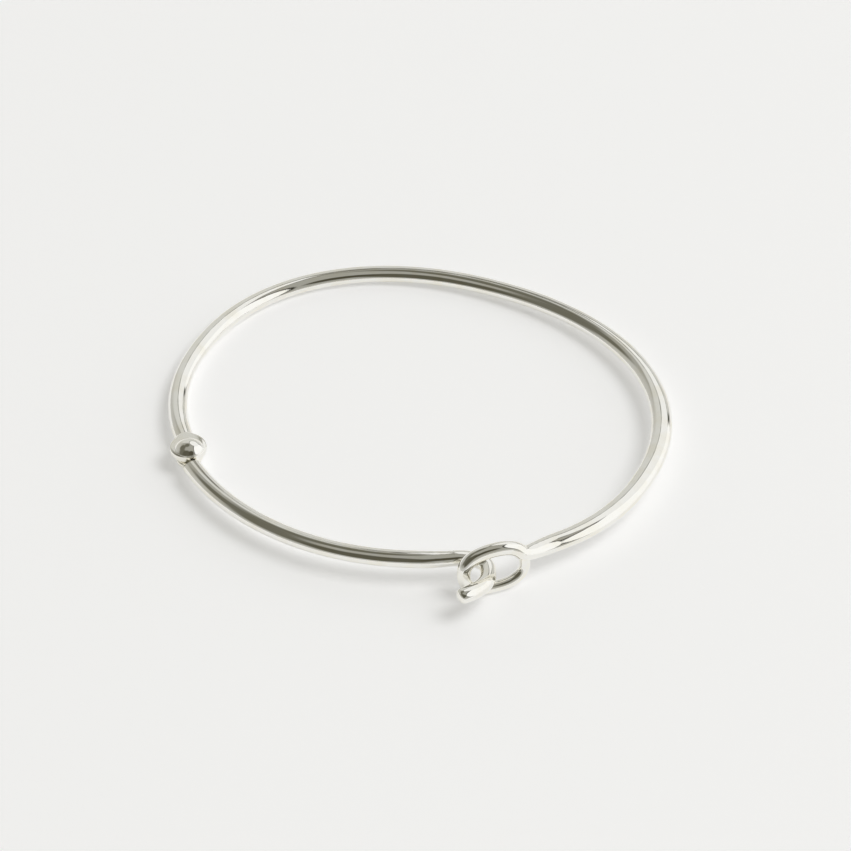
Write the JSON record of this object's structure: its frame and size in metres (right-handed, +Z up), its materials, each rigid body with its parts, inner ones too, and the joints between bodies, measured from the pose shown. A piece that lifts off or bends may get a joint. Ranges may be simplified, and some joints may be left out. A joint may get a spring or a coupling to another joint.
{
  "type": "hinged hook bangle bracelet",
  "caption": "Oval polished silver wire bangle with a riveted lap hinge and a hook that catches in an eye loop.",
  "frame": {"origin": "middle of the bangle's outline, on the level of its lowest point", "axes": "+X along the length of the oval towards the clasp side, +Y towards the back of the long arm, +Z up along the hinge axis"},
  "size_m": [0.0635, 0.0578, 0.0066],
  "materials": {
    "silver_wire": "hand-polished sterling silver wire, mirror bright with faint handling marks",
    "silver_hinge": "polished sterling silver leaves, slightly softer from filing",
    "silver_rivet": "bright domed sterling silver rivet heads",
    "silver_clasp": "polished sterling silver loop and hook"
  },
  "bodies": {
    "long_arm": {"long_arm": "silver_wire", "upper_leaf": "silver_hinge", "eye_loop": "silver_clasp", "rivet_shank": "silver_rivet", "rivet_top_head": "silver_rivet", "rivet_bottom_head": "silver_rivet"},
    "short_arm": {"short_arm": "silver_wire", "lower_leaf": "silver_hinge", "hook": "silver_clasp"}
  },
  "joints": [
    {"name": "arm_swing", "type": "hinge", "parent": "long_arm", "child": "short_arm", "pos_m": [-0.02243, -0.01798, 0.0034], "axis": [0, 0, 1], "range_deg": [0, 75]}
  ]
}
